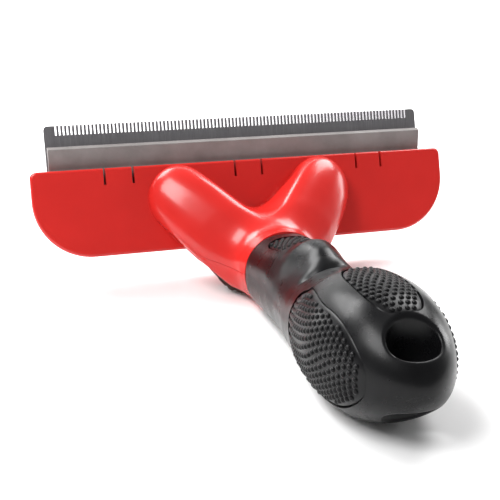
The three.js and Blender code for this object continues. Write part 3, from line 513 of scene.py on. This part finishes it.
def studs(name, pad):
    """Rows of small domes on the pad; at the front of the side pads they stretch into short ribs."""
    vertices, faces = [], []
    radius = float(along(STATION_SIDE, pad["u"]))
    step_q = STUD_PITCH / (math.radians(pad["half_phi"]) * radius)
    step_p = STUD_PITCH * 0.9 / pad["half_u"]
    rows = int(1 / step_p)
    for i in range(-rows, rows + 1):
        p = i * step_p
        shift = 0.5 * (i % 2)
        count = int(1 / step_q) + 1
        for j in range(-count, count + 1):
            q = (j + shift) * step_q
            if abs(p * 1.04) ** pad["corner"] + abs(q * 1.05) ** pad["corner"] > STUD_EDGE:
                continue
            u, phi = pad_place(pad, p, q)
            rib = min(1, max(0, (RIB_FROM - float(u)) / 6)) if pad["lean"] else 0
            add_stud(vertices, faces, u, phi, 1 + RIB_STRETCH * rib)
    return outward(mesh_object(name, to_row(vertices), faces))


# ---- the neck's surface ----

PLATE_FRONT = -6.2
ARM_X = 23.6
ARM_Z = -24.4
ARM_HALF_WIDTH = 10
ARM_HALF_HEIGHT = 10.6
COLLAR_RADIUS = 12.1
CROTCH_Z = -44.8
ARM_FOOT = 0.55
OUTER_MERGE = 0.85
INNER_MERGE = 0.12
SAG = 1.4  # above 1, the arms hang below straight lines
BLEND = 0.7  # how softly the two arms run into each other
BELLY_LIFT = 2.2
BELLY_END = -1
BELLY_SOFTNESS = 2
NECK_START_Y = PLATE_FRONT - 0.3
NECK_WALL = 2.4
PARTING_GAP = 0.06


def smooth(t):
    """Runs from 0 to 1 with level ends."""
    t = np.clip(t, 0, 1)
    return t * t * (3 - 2 * t)


def arm_line(t):
    """The line that each arm's section lies round: from an outer end down to an inner one."""
    foot_z = CROTCH_Z + (COLLAR_Z - CROTCH_Z) * smooth(t)
    outer = 1 - smooth(t / OUTER_MERGE)
    inner = ARM_FOOT * (1 - smooth(t / INNER_MERGE))
    rise = ARM_Z - foot_z
    return ARM_X * outer, ARM_X * inner, foot_z + rise * outer**SAG, foot_z + rise * inner**SAG


def parting_height(t):
    """The height at which the neck's two halves part."""
    _, _, outer_z, inner_z = arm_line(np.maximum(t, INNER_MERGE))
    return (outer_z + inner_z) / 2


def neck_section(t):
    """The neck's section at share t of its length."""
    grown = smooth(t)
    outer_x, inner_x, outer_z, inner_z = arm_line(t)
    z = parting_height(t)
    return dict(
        tilt=DROOP * grown,
        y=NECK_START_Y + (COLLAR_Y - NECK_START_Y) * t,
        z=z,
        outer_x=outer_x,
        inner_x=inner_x,
        outer_n=outer_z - z,
        inner_n=inner_z - z,
        half_x=ARM_HALF_WIDTH + (COLLAR_RADIUS - ARM_HALF_WIDTH) * grown,
        half_n=ARM_HALF_HEIGHT + (COLLAR_RADIUS - 0.2 - ARM_HALF_HEIGHT) * grown,
    )


def neck_field(section, x, n):
    """Below 0 inside: two slanting ovals that run softly into each other."""

    def off(sign):
        start_x = sign * section["outer_x"] / section["half_x"]
        start_n = section["outer_n"] / section["half_n"]
        run_x = sign * (section["inner_x"] - section["outer_x"]) / section["half_x"]
        run_n = (section["inner_n"] - section["outer_n"]) / section["half_n"]
        px, pn = x / section["half_x"] - start_x, n / section["half_n"] - start_n
        share = np.clip((px * run_x + pn * run_n) / np.maximum(run_x**2 + run_n**2, 1e-9), 0, 1)
        return np.hypot(px - share * run_x, pn - share * run_n) - 1

    right, left = off(1), off(-1)
    share = np.clip(0.5 + (left - right) / (2 * BLEND), 0, 1)
    return left * (1 - share) + right * share - BLEND * share * (1 - share)


def belly_height(t, y):
    """The height of the neck's flat underside, lowest at the collar."""
    lift = BELLY_LIFT + (BELLY_END - BELLY_LIFT) * smooth((t - 0.6) / 0.35)
    return (lift - REST_DEPTH + y * math.sin(LEAN)) / math.cos(LEAN)


def soft_max(a, b, softness):
    """The larger of two heights, with the corner between them rounded."""
    near = np.maximum(softness - np.abs(a - b), 0) / softness
    return np.maximum(a, b) + near**2 * softness / 4


def neck_reach(section, hub, angle):
    """The distance from the hub to the neck's skin in a direction of its section."""
    overlap = np.clip(1 - section["outer_x"] / section["half_x"], 0, 1)
    scale = 1 + (BLEND / 4) * smooth(overlap)
    dx, dn = np.cos(angle), np.sin(angle)
    low = np.zeros(np.broadcast(section["half_x"], angle).shape)
    high = low + 60
    for _ in range(40):
        middle = (low + high) / 2
        inside = neck_field(section, (hub + middle * dx) * scale, middle * dn * scale) < 0
        low, high = np.where(inside, middle, low), np.where(inside, high, middle)
    return low


def neck_patch(up, t, sides, first):
    """Grid (rows, sides, 3) of the right half of the neck's upper or lower skin, in the head frame.
    first is the height of the parting line off the middle sheet, in millimetres."""
    section = neck_section(t[:, None])
    side = 1 if up else -1
    hub = np.maximum((section["outer_x"] + section["inner_x"]) / 2, 0.4 * section["half_x"])
    low, high = np.full_like(t[:, None], math.pi / 2), np.full_like(t[:, None], math.pi)
    for _ in range(40):
        angle = (low + high) / 2
        outside = hub + neck_reach(section, hub, side * angle) * np.cos(angle) > 0
        low, high = np.where(outside, angle, low), np.where(outside, high, angle)
    reach_end = neck_reach(section, hub, np.full_like(hub, math.pi))
    start = first / neck_reach(section, hub, np.zeros_like(hub))
    all_round = low > math.pi - 1e-4
    end = np.where(all_round, math.pi - first / reach_end, np.minimum(low, math.pi - first / hub))
    angle = start + (end - start) * np.linspace(0, 1, sides)[None, :]
    reach = neck_reach(section, hub, side * angle)
    x = np.maximum(hub + reach * np.cos(angle), 0)
    n = reach * np.sin(side * angle)
    y = section["y"] - n * np.sin(section["tilt"])
    z = section["z"] + n * np.cos(section["tilt"])
    z = soft_max(z, belly_height(t[:, None], y), BELLY_SOFTNESS)
    return np.stack([x, y, z], -1)


def neck_skin(name, up):
    """Half of the neck's shell, with its wall, cut where the two halves part."""
    rows, sides = 96, 72
    t = np.linspace(-0.0105, 0.985, rows)
    patch = neck_patch(up, t, sides, PARTING_GAP)
    mirrored = patch * np.array([-1, 1, 1])
    vertices = to_row(np.concatenate([patch.reshape(-1, 3), mirrored.reshape(-1, 3)]))
    faces = grid_faces(rows, sides) + [f[::-1] for f in grid_faces(rows, sides, offset=rows * sides)]
    if not up:
        faces = [f[::-1] for f in faces]
    obj = mesh_object(name, vertices, faces)
    work = bmesh.new()
    work.from_mesh(obj.data)
    bmesh.ops.remove_doubles(work, verts=work.verts, dist=0.02 * MM)
    bmesh.ops.dissolve_degenerate(work, edges=work.edges, dist=0.01 * MM)
    work.to_mesh(obj.data)
    work.free()
    step = obj.modifiers.new("wall", "SOLIDIFY")
    step.thickness = NECK_WALL * MM
    step.offset = -1
    step.use_rim = True
    return outward(applied(obj))


# ---- the head ----

BLADE_WIDTH = 127
BLADE_TOP = 1
BLADE_BOTTOM = -32.6
BLADE_HALF = 0.6
BLADE_CORNER_HIGH = 1.3
BLADE_CORNER_LOW = 6
TOOTH_COUNT = 99
TOOTH_PITCH = 1.207
SLOT_WIDTH = 0.52
TOOTH_LENGTH = 3
PLATE_WIDTH = 138.4
PLATE_TOP = -13.3
PLATE_BOTTOM = -40.5
PLATE_BACK = -3.2
PLATE_RIM = 0.9
CORNER_LOW = 18
CORNER_HIGH = 2
SLIT_X = [-46.6, -37.7, -4.5, 4.5, 37.7, 46.6]
SLIT_WIDTH = 0.75
SLIT_DEPTH = 5.2
SCREW_X = [-54, -9.5, 9.5, 54]
SCREW_Z = -29
BORE_RADIUS = 1.55
RECESS_RADIUS = 2.9
RECESS_DEPTH = 1.8
LUG_X = 21.9
LUG_Z = -30.5
STROKE = 5
WINDOW_RADIUS = 3
CHANNEL_BOTTOM = -33.9
LEDGE_INSET = 2.4
LEDGE_TOP = -24.9
TONGUE_HALF = 5.3
BAR_BACK = -0.9
COVER_INSET = 1.6
COVER_THICKNESS = 3.4
COVER_FRONT = BLADE_HALF + 0.3
COVER_BACK = COVER_FRONT + COVER_THICKNESS
IN_FRONT = -9  # where cutting tools end in front of the plate
BEHIND = 9  # and behind the cover


def arc(x, z, radius, start, end, steps):
    """Points of a circle's arc round (x, z)."""
    angles = [start + (end - start) * i / steps for i in range(steps + 1)]
    return [(x + radius * math.cos(a), z + radius * math.sin(a)) for a in angles]


def blade_mesh(name):
    """The toothed strip: square-ended slots between the teeth, a fine bevel on every edge."""
    half = BLADE_WIDTH / 2
    turn = math.pi / 2
    high, low = BLADE_CORNER_HIGH, BLADE_CORNER_LOW
    outline = arc(half - high, BLADE_TOP - high, high, 0, turn, 5)
    for k in range(TOOTH_COUNT, -1, -1):
        x = (k - TOOTH_COUNT / 2) * TOOTH_PITCH
        right, left = x + SLOT_WIDTH / 2, x - SLOT_WIDTH / 2
        root = BLADE_TOP - TOOTH_LENGTH
        outline += [(right, BLADE_TOP), (right, root), (left, root), (left, BLADE_TOP)]
    outline += arc(-half + high, BLADE_TOP - high, high, turn, 2 * turn, 5)
    outline += arc(-half + low, BLADE_BOTTOM + low, low, 2 * turn, 3 * turn, 5)
    outline += arc(half - low, BLADE_BOTTOM + low, low, 3 * turn, 4 * turn, 5)
    count = len(outline)
    front = to_row([(x, -BLADE_HALF, z) for x, z in outline])
    back = to_row([(x, BLADE_HALF, z) for x, z in outline])
    faces = [(i, (i + 1) % count, count + (i + 1) % count, count + i) for i in range(count)]
    faces += [tuple(range(count)), tuple(range(count, 2 * count))[::-1]]
    obj = outward(mesh_object(name, np.concatenate([front, back]), faces, smooth=False))
    for x in SCREW_X:
        cut(obj, bar("bore", (x, -3, SCREW_Z), (x, 3, SCREW_Z), BORE_RADIUS))
    return rounded(obj, 0.07, 1, 50)


def plate_ring(inset, top, y):
    """The outline of the plate, moved in by inset, at depth y."""
    half = PLATE_WIDTH / 2 - inset
    bottom = PLATE_BOTTOM + inset
    low = CORNER_LOW - inset
    turn = math.pi / 2
    ring = arc(half - CORNER_HIGH, top - CORNER_HIGH, CORNER_HIGH, 0, turn, 6)
    ring += arc(-half + CORNER_HIGH, top - CORNER_HIGH, CORNER_HIGH, turn, 2 * turn, 6)
    ring += arc(-half + low, bottom + low, low, 2 * turn, 3 * turn, 28)
    ring += arc(half - low, bottom + low, low, 3 * turn, 4 * turn, 28)
    return to_row([(x, y, z) for x, z in ring])


def plate_slab(name, inset, top, y0, y1, rim):
    """A plate whose front and back edges are rounded over by rim."""
    steps = [math.pi / 2 * i / 5 for i in range(6)]
    layers = [(rim * (1 - math.sin(a)), rim * (1 - math.cos(a))) for a in steps]
    front = [plate_ring(inset + narrow, top - narrow, y0 + rise) for narrow, rise in layers]
    back = [plate_ring(inset + narrow, top - narrow, y1 - rise) for narrow, rise in layers]
    return loft(name, front + back[::-1])


def block(name, low, high):
    """A cutting block between two corners of the head's frame."""
    (x0, y0, z0), (x1, y1, z1) = low, high
    rings = [to_row([(x0, y, z0), (x1, y, z0), (x1, y, z1), (x0, y, z1)]) for y in (y0, y1)]
    return loft(name, rings, smooth=False)


def bar(name, start, end, radius, sides=24):
    """A straight round bar between two points of the head's frame."""
    a, b = np.array(start, float), np.array(end, float)
    axis = (b - a) / np.linalg.norm(b - a)
    side = np.cross(axis, [1, 0, 0] if abs(axis[0]) < 0.9 else [0, 1, 0])
    side /= np.linalg.norm(side)
    other = np.cross(axis, side)
    angle = 2 * math.pi * np.arange(sides) / sides
    circle = radius * (np.cos(angle)[:, None] * side + np.sin(angle)[:, None] * other)
    return loft(name, [to_row(circle + a), to_row(circle + b)])


def head_plate_mesh(name):
    """The red plate: six slits in its upper edge, channels and windows for the slide's two tongues."""
    obj = plate_slab(name, 0, PLATE_TOP, PLATE_FRONT, PLATE_BACK, PLATE_RIM)
    ledge = [plate_ring(LEDGE_INSET, LEDGE_TOP, y) for y in (PLATE_BACK - 1, BAR_BACK)]
    cut(obj, loft("ledge", ledge), "UNION")
    for x in SLIT_X:
        half = SLIT_WIDTH / 2
        cut(obj, block("slit", (x - half, IN_FRONT, PLATE_TOP - SLIT_DEPTH), (x + half, 0, 0)))
    for side in (-1, 1):
        x = side * LUG_X
        low = (x - TONGUE_HALF, PLATE_BACK, CHANNEL_BOTTOM)
        cut(obj, block("channel", low, (x + TONGUE_HALF, 0, 0)))
        window = arc(x, LUG_Z + STROKE, WINDOW_RADIUS, 0, math.pi, 10)
        window += arc(x, LUG_Z, WINDOW_RADIUS, math.pi, 2 * math.pi, 10)
        cut(obj, loft("window", [to_row([(a, y, b) for a, b in window]) for y in (IN_FRONT, 0)]))
    for x in SCREW_X:
        cut(obj, bar("bore", (x, -4.6, SCREW_Z), (x, 1, SCREW_Z), BORE_RADIUS))
    return obj


def cover_mesh(name):
    """The cover behind the blade, with a recess for each screw's head."""
    obj = plate_slab(name, COVER_INSET, PLATE_TOP, COVER_FRONT, COVER_BACK, PLATE_RIM)
    for x in SCREW_X:
        seat = COVER_BACK - RECESS_DEPTH
        cut(obj, bar("shank", (x, -1, SCREW_Z), (x, BEHIND, SCREW_Z), BORE_RADIUS))
        cut(obj, bar("recess", (x, seat, SCREW_Z), (x, BEHIND, SCREW_Z), RECESS_RADIUS, 40))
    return obj


def screw_mesh(name, x):
    """A pan-head screw with a crossed driving recess, along the head's Y axis."""
    top = COVER_BACK
    profile = [(0.35, -4.2), (1.15, -3.4), (1.25, -3.2), (1.25, top - 1.5), (2.45, top - 1.5)]
    profile += [(2.6, top - 1.35), (2.6, top - 0.7), (2.45, top - 0.35), (2.0, top - 0.1), (1.2, top)]
    angle = 2 * math.pi * np.arange(32) / 32
    rings = []
    for r, y in profile:
        ring = [x + r * np.cos(angle), np.full(32, y), SCREW_Z + r * np.sin(angle)]
        rings.append(to_row(np.stack(ring, -1)))
    obj = loft(name, rings)
    for half_x, half_z in ((1.55, 0.3), (0.3, 1.55)):
        low = (x - half_x, top - 0.9, SCREW_Z - half_z)
        cut(obj, block("drive", low, (x + half_x, top + 1, SCREW_Z + half_z)))
    return obj


SPRING_Y = -26
SPRING_LOW = -45.8
SPRING_TOP = -38.9
SPRING_RADIUS = 2.7
SPRING_WIRE = 0.3
SPRING_TURNS = 3


def spring_mesh(name):
    """The coil spring inside the neck, standing along the teeth."""
    around = 2 * math.pi * np.arange(10) / 10
    climb = (SPRING_TOP - SPRING_LOW) / (2 * math.pi * SPRING_TURNS)
    rings = []
    for turn in np.linspace(0, 2 * math.pi * SPRING_TURNS, 28 * SPRING_TURNS + 1):
        out = np.array([math.cos(turn), math.sin(turn), 0])
        ahead = np.array([-SPRING_RADIUS * math.sin(turn), SPRING_RADIUS * math.cos(turn), climb])
        up = np.cross(out, ahead / np.linalg.norm(ahead))
        middle = np.array([0, SPRING_Y, SPRING_LOW + climb * turn]) + SPRING_RADIUS * out
        circle = np.cos(around)[:, None] * out + np.sin(around)[:, None] * up
        rings.append(to_row(middle + SPRING_WIRE * circle))
    return loft(name, rings)


# ---- the materials ----

RED = gloss_red("moulded_red", (0.62, 0.021, 0.017))
RUBBER = satin_rubber("satin_rubber", (0.0035, 0.0035, 0.004), 0.24, 0.36, 2.5)
STUD_RUBBER = satin_rubber("stud_rubber", (0.003, 0.003, 0.0035), 0.26, 0.36, 3)
BUTTON = satin_rubber("button_plastic", (0.035, 0.02, 0.016), 0.4, 0.55, 1.5)
STEEL = brushed("brushed_blade", (0.42, 0.405, 0.425), (9, 0.12, 0.12), 0.26, 0.48)
SCREW_STEEL = brushed("screw_steel", (0.55, 0.55, 0.56), (3, 3, 3), 0.22, 0.4)
GREY = satin_rubber("grey_plastic", (0.2, 0.185, 0.18), 0.42, 0.55, 1.2)


def dress(obj, look):
    """Gives an object one material."""
    obj.data.materials.clear()
    obj.data.materials.append(look)
    return obj


def shaded(obj, angle=32):
    """Smooth shading that keeps edges sharper than angle, with large faces leading."""
    work = bmesh.new()
    work.from_mesh(obj.data)
    limit = math.radians(angle)
    for edge in work.edges:
        edge.smooth = not (edge.is_manifold and edge.calc_face_angle(0) > limit)
    for face in work.faces:
        face.smooth = True
    work.to_mesh(obj.data)
    work.free()
    step = obj.modifiers.new("normals", "WEIGHTED_NORMAL")
    step.keep_sharp = True
    return obj


def placed(obj, look, nodes, angle=32):
    """Finishes a visual piece: shading, material, body and the CAD nodes that it stands for."""
    if angle:
        shaded(obj, angle)
    dress(obj, look)
    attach(obj, BODY)
    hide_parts(*nodes)
    return obj


# ---- the visual pieces ----

placed(blade_mesh("blade"), STEEL, ["comb_blade"], angle=None)
placed(head_plate_mesh("plate"), RED, ["head_plate"])
placed(cover_mesh("cover"), RED, ["blade_cover"])
for number, x in enumerate(SCREW_X, 1):
    piece = screw_mesh(f"cover_screw_{number}", x)
    placed(piece, SCREW_STEEL, [f"blade_screw_{number}"])

spring = spring_mesh("spring")
shaded(spring, 60)
dress(spring, SCREW_STEEL)
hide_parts("return_spring")
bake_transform(spring)

BUTTON_FRONT = -9
BUTTON_BACK = -24
BUTTON_HALF = 21
BUTTON_NARROWING = 1.15
BUTTON_PLAY = 0.4


def button_window():
    """The opening in the neck's underside that the thumb button stands in."""
    rings = []
    for y in (BUTTON_FRONT + BUTTON_PLAY, BUTTON_BACK - BUTTON_PLAY):
        half = BUTTON_HALF + BUTTON_NARROWING * (y - BUTTON_FRONT) + BUTTON_PLAY
        rings.append(to_row([(-half, y, -70), (half, y, -70), (half, y, -34), (-half, y, -34)]))
    return loft("button_window", rings, smooth=False)


placed(neck_skin("neck_upper", True), RED, ["neck_upper_shell"], angle=40)
lower = neck_skin("neck_lower", False)
cut(lower, button_window())
cut(lower, resting_block())
placed(lower, RED, ["neck_lower_shell"], angle=40)

grip = grip_mesh("grip")
for node, pad in PADS.items():
    cut(grip, pad_slab("recess", pad, PAD_PLAY, 2.2, -PAD_DEPTH - 0.25))
cut(grip, hole_tool("hole_tool"))
cut(grip, resting_block())
placed(grip, RUBBER, ["rubber_grip"])
for node, pad in PADS.items():
    base = node.replace("_stud_pad", "")
    slab = pad_slab(f"{base}_pad", pad, 0, -PAD_SINK, -PAD_DEPTH, 0.18)
    placed(slab, STUD_RUBBER, [node])
    dots = studs(f"{base}_studs", pad)
    placed(dots, STUD_RUBBER, [node], angle=60)

# The nodes that no visual piece stands for keep their shape, with a material and rounded edges.
for node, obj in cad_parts.items():
    if obj.hide_render:
        continue
    look, edge = (GREY, 0.12) if node == "ejector_bar" else (BUTTON, 0.08)
    if "screw" in node:
        look = SCREW_STEEL
    dress(obj, look)
    weld = obj.modifiers.new("weld", "WELD")
    weld.merge_threshold = 0.002 * MM
    rounded(obj, edge, 2, 30)

# ---- the studio ----


FLOOR_Z = -0.0002  # just under the object, in metres like all of the studio
FLOOR_HALF = 3.0
SWEEP_START = 0.7
SWEEP_RADIUS = 0.6
SWEEP_TOP = 2.0
SWEEP_STEPS = 24


def floor():
    """A sheet of white paper that sweeps up behind the object."""
    line = [(-FLOOR_HALF, FLOOR_Z)]
    for k in range(SWEEP_STEPS + 1):
        turn = math.pi / 2 * k / SWEEP_STEPS
        rise = SWEEP_RADIUS * (1 - math.cos(turn))
        line.append((SWEEP_START + SWEEP_RADIUS * math.sin(turn), FLOOR_Z + rise))
    line.append((SWEEP_START + SWEEP_RADIUS, SWEEP_TOP))
    rows = [[(x, y, z) for x in (-FLOOR_HALF, FLOOR_HALF)] for y, z in line]
    mesh = bpy.data.meshes.new("floor")
    points = [p for row in rows for p in row]
    faces = [(2 * k, 2 * k + 1, 2 * k + 3, 2 * k + 2) for k in range(len(rows) - 1)]
    mesh.from_pydata(points, [], faces)
    mesh.shade_smooth()
    obj = bpy.data.objects.new("floor", mesh)
    bpy.context.scene.collection.objects.link(obj)
    paper, _, _ = material("floor_paper", (0.9, 0.9, 0.9), 0.7)
    dress(obj, paper)


def softbox(name, place, target, size, power):
    """A rectangular lamp of so many watts that faces its target."""
    light = bpy.data.lights.new(name, "AREA")
    light.shape = "RECTANGLE"
    light.size, light.size_y = size
    light.energy = power
    obj = bpy.data.objects.new(name, light)
    bpy.context.scene.collection.objects.link(obj)
    obj.location = place
    obj.rotation_euler = (Vector(target) - Vector(place)).to_track_quat("-Z", "Y").to_euler()


CAMERA_AT = Vector((-0.0847, -0.2153, 0.1019))
CAMERA_AIM = Vector((-0.0171, 0, 0.0261))
CAMERA_ROLL = math.radians(0.46)
CAMERA_LENS = 64.8


def camera():
    data = bpy.data.cameras.new("camera")
    data.lens = CAMERA_LENS
    data.sensor_width = 36
    data.clip_start = 0.01
    obj = bpy.data.objects.new("camera", data)
    bpy.context.scene.collection.objects.link(obj)
    obj.location = CAMERA_AT
    look = (CAMERA_AIM - CAMERA_AT).to_track_quat("-Z", "Y")
    obj.rotation_mode = "QUATERNION"
    obj.rotation_quaternion = look @ Quaternion((0, 0, 1), CAMERA_ROLL)
    bpy.context.scene.camera = obj


MIDDLE = Vector((0, 0.03, 0.025))
LAMP_DISTANCE = 0.8
WORLD_STRENGTH = 0.24


def from_middle(azimuth, elevation, distance=LAMP_DISTANCE):
    """A place seen from the middle of the object, azimuth counted from +Y towards +X in degrees."""
    turn, rise = math.radians(azimuth), math.radians(elevation)
    flat = distance * math.cos(rise)
    return MIDDLE + Vector((flat * math.sin(turn), flat * math.cos(turn), distance * math.sin(rise)))


floor()
camera()
softbox("left", from_middle(-110, 52), MIDDLE, (0.34, 0.42), 5.5)
softbox("right", from_middle(60, 46), MIDDLE, (0.34, 0.4), 4.5)
softbox("right_low", from_middle(77, 12), MIDDLE, (0.2, 0.3), 1.5)
softbox("behind", from_middle(-35, 48, 0.9), MIDDLE, (0.5, 0.4), 8)
softbox("low_left", from_middle(-42, 11), MIDDLE, (0.25, 0.2), 1.5)
softbox("backdrop", (0, 0.6, 0.7), (0, 1.2, 0.1), (1.6, 0.3), 16)
world = bpy.data.worlds.new("studio")
bpy.context.scene.world = world
world.use_nodes = True
background = world.node_tree.nodes["Background"]
background.inputs["Color"].default_value = (1, 1, 1, 1)
background.inputs["Strength"].default_value = WORLD_STRENGTH
bpy.context.scene.view_settings.view_transform = "Standard"
